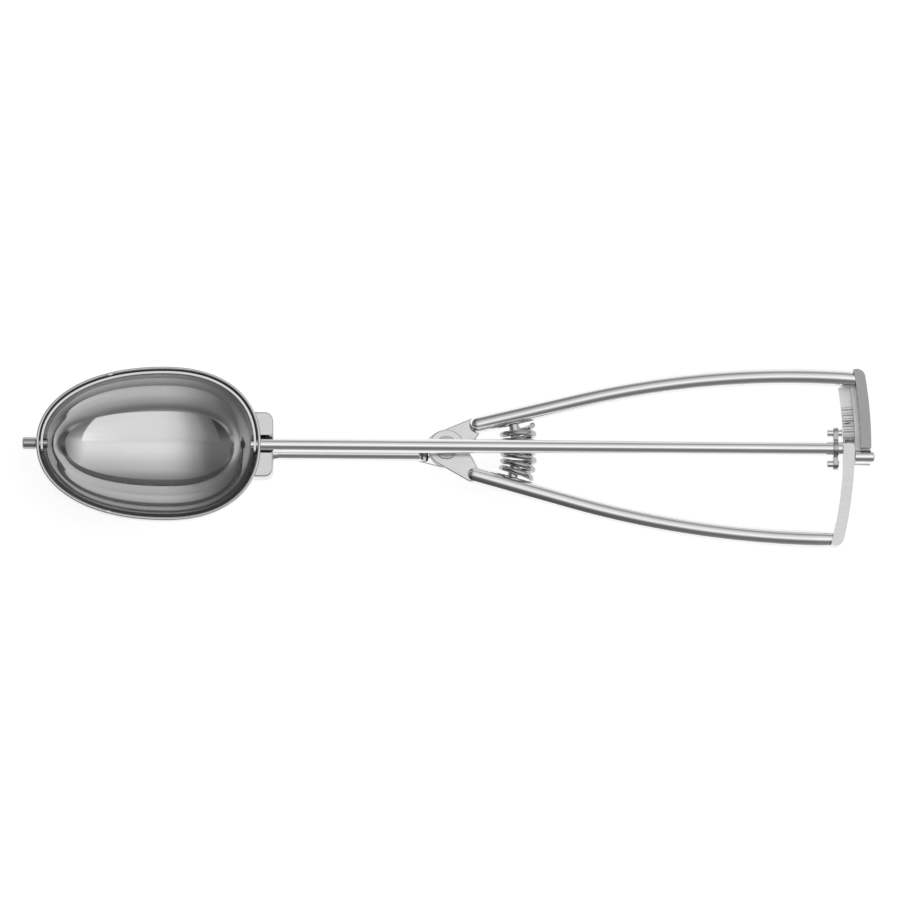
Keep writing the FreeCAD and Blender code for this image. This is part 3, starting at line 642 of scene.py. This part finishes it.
# Lengths from here on are in metres. How bright the light is over its direction: across from
# -Y (0) to +Y (1), and along from -X (0) to +X (1).
SKY_ACROSS = [
    (0.0, 0.5),
    (0.017, 0.4),
    (0.047, 0.3),
    (0.117, 0.22),
    (0.213, 0.25),
    (0.297, 0.4),
    (0.379, 0.8),
    (0.422, 1.25),
    (0.465, 1.4),
    (0.552, 1.35),
    (0.629, 1.2),
    (0.711, 1.0),
    (0.794, 0.85),
    (0.86, 0.55),
    (0.91, 0.36),
    (0.941, 0.42),
    (0.97, 0.8),
    (1.0, 1.0),
]
SKY_ALONG = [
    (0.0, 0.17),
    (0.175, 0.17),
    (0.23, 0.23),
    (0.33, 0.5),
    (0.418, 0.82),
    (0.47, 0.95),
    (0.5, 1.0),
    (0.875, 1.0),
    (0.975, 0.3),
    (1.0, 0.3),
]
TOP_LEVEL = 2.0

# The panel's brightness from its far edge (0) to its near one (1), and from -X (0) to +X (1).
PANEL_HEIGHT = 0.4
PANEL_NEAR, PANEL_FAR = 0.05, 0.95
PANEL_WIDTH = 1.0
PANEL_ACROSS = [
    (0.0, 0.66),
    (0.5, 0.69),
    (0.745, 0.69),
    (0.858, 0.59),
    (0.9, 0.48),
    (0.945, 0.34),
    (0.985, 0.05),
    (1.0, 0.0),
]
PANEL_ALONG = [(0.0, 0.1), (0.2, 0.2), (0.35, 0.5), (0.44, 0.85), (0.5, 1.0), (1.0, 1.0)]
WATTS_PER_LEVEL = 4.0

FLOOR_HALF_SIZE = 6.0
FLOOR_PAINT = 0.86
FLOOR_GLOW = 0.68

CAMERA_TARGET = (0.00033, 0.00151, 0.0221)
CAMERA_DISTANCE = 2.0
CAMERA_TILT = math.radians(5.0)
CAMERA_TURN = math.radians(0.41)
PICTURE_WIDTH = 0.2565
SENSOR_WIDTH = 36.0


def times(tree, a, b):
    """The product of two outputs, or of an output and a number."""
    made = node(tree, "Math", operation="MULTIPLY")
    tree.links.new(a, made.inputs[0])
    if isinstance(b, float):
        made.inputs[1].default_value = b
    else:
        tree.links.new(b, made.inputs[1])
    return made.outputs["Value"]


def levels(tree, value, steps):
    """Brightness over a value from 0 to 1, from its (place, level) steps."""
    made = node(tree, "ValToRGB")
    ends = made.color_ramp.elements
    while len(ends) < len(steps):
        ends.new(0.5)
    for end, (place, level) in zip(ends, steps):
        end.position = place
        end.color = (level / TOP_LEVEL, level / TOP_LEVEL, level / TOP_LEVEL, 1)
    tree.links.new(value, made.inputs["Fac"])
    return times(tree, made.outputs["Color"], TOP_LEVEL)


def studio_floor():
    """A white table: it shows white to the camera and to the steel, and keeps the shadow."""
    mesh = bmesh.new()
    bmesh.ops.create_grid(mesh, x_segments=2, y_segments=2, size=FLOOR_HALF_SIZE)
    data = bpy.data.meshes.new("studio_floor")
    mesh.to_mesh(data)
    mesh.free()
    floor = bpy.data.objects.new("studio_floor", data)
    bpy.context.scene.collection.objects.link(floor)
    material = bpy.data.materials.new("white_table")
    material.use_nodes = True
    tree = material.node_tree
    tree.nodes.clear()
    link = tree.links.new
    out = node(tree, "OutputMaterial")
    paint = node(tree, "BsdfDiffuse", Color=(FLOOR_PAINT, FLOOR_PAINT, FLOOR_PAINT, 1))
    glow = node(tree, "Emission")
    rays = node(tree, "LightPath")
    seen = node(tree, "Math", operation="MAXIMUM")
    link(rays.outputs["Is Camera Ray"], seen.inputs[0])
    link(rays.outputs["Is Glossy Ray"], seen.inputs[1])
    link(times(tree, seen.outputs["Value"], FLOOR_GLOW), glow.inputs["Strength"])
    both = node(tree, "AddShader")
    link(paint.outputs["BSDF"], both.inputs[0])
    link(glow.outputs["Emission"], both.inputs[1])
    link(both.outputs["Shader"], out.inputs["Surface"])
    data.materials.append(material)


def studio_light():
    """A broad soft light overhead, brightest above the tool and fading to both its ends."""
    world = bpy.data.worlds.new("studio")
    bpy.context.scene.world = world
    world.use_nodes = True
    tree = world.node_tree
    tree.nodes.clear()
    link = tree.links.new
    out = node(tree, "OutputWorld")
    place = node(tree, "TexCoord")
    split = node(tree, "SeparateXYZ")
    link(place.outputs["Generated"], split.inputs["Vector"])

    def share(axis):
        made = node(tree, "MapRange")
        made.inputs["From Min"].default_value = -1.0
        link(split.outputs[axis], made.inputs["Value"])
        return made.outputs["Result"]

    across = levels(tree, share("Y"), SKY_ACROSS)
    along = levels(tree, share("X"), SKY_ALONG)
    lit = node(tree, "Background")
    link(times(tree, across, along), lit.inputs["Strength"])
    white = node(tree, "Background")
    rays = node(tree, "LightPath")
    both = node(tree, "MixShader")
    link(rays.outputs["Is Camera Ray"], both.inputs["Fac"])
    link(lit.outputs["Background"], both.inputs[1])
    link(white.outputs["Background"], both.inputs[2])
    link(both.outputs["Shader"], out.inputs["Surface"])


def bowl_light():
    """A soft panel that lights only the bowl's shell, from over the lower handle's side."""
    data = bpy.data.lights.new("bowl_light", "AREA")
    data.shape = "RECTANGLE"
    data.size = PANEL_WIDTH
    data.size_y = PANEL_FAR - PANEL_NEAR
    data.energy = WATTS_PER_LEVEL * data.size * data.size_y
    data.use_nodes = True
    tree = data.node_tree
    tree.nodes.clear()
    link = tree.links.new
    place = node(tree, "NewGeometry")
    split = node(tree, "SeparateXYZ")
    link(place.outputs["Parametric"], split.inputs["Vector"])
    across = levels(tree, split.outputs["Y"], PANEL_ACROSS)
    along = levels(tree, split.outputs["X"], PANEL_ALONG)
    glow = node(tree, "Emission")
    link(times(tree, across, along), glow.inputs["Strength"])
    out = node(tree, "OutputLight")
    link(glow.outputs["Emission"], out.inputs["Surface"])
    panel = bpy.data.objects.new("bowl_light", data)
    bpy.context.scene.collection.objects.link(panel)
    panel.location = (WIDEST_X * MM, -(PANEL_FAR + PANEL_NEAR) / 2, PANEL_HEIGHT)
    lit = bpy.data.collections.new("lit_by_the_panel")
    lit.objects.link(bpy.data.objects["bowl_shell"])
    panel.light_linking.receiver_collection = lit


def camera():
    """Straight above the tool and a little towards the lower handle, as in the photo."""
    data = bpy.data.cameras.new("camera")
    made = bpy.data.objects.new("camera", data)
    bpy.context.scene.collection.objects.link(made)
    made.rotation_euler = (CAMERA_TILT, 0, CAMERA_TURN)
    back = made.rotation_euler.to_matrix() @ Vector((0, 0, CAMERA_DISTANCE))
    made.location = Vector(CAMERA_TARGET) + back
    data.sensor_fit = "HORIZONTAL"
    data.sensor_width = SENSOR_WIDTH
    data.lens = SENSOR_WIDTH * CAMERA_DISTANCE / PICTURE_WIDTH
    data.clip_start = 0.01
    data.clip_end = 50.0
    bpy.context.scene.camera = made


studio_floor()
studio_light()
bowl_light()
camera()
bpy.context.scene.view_settings.view_transform = "Standard"
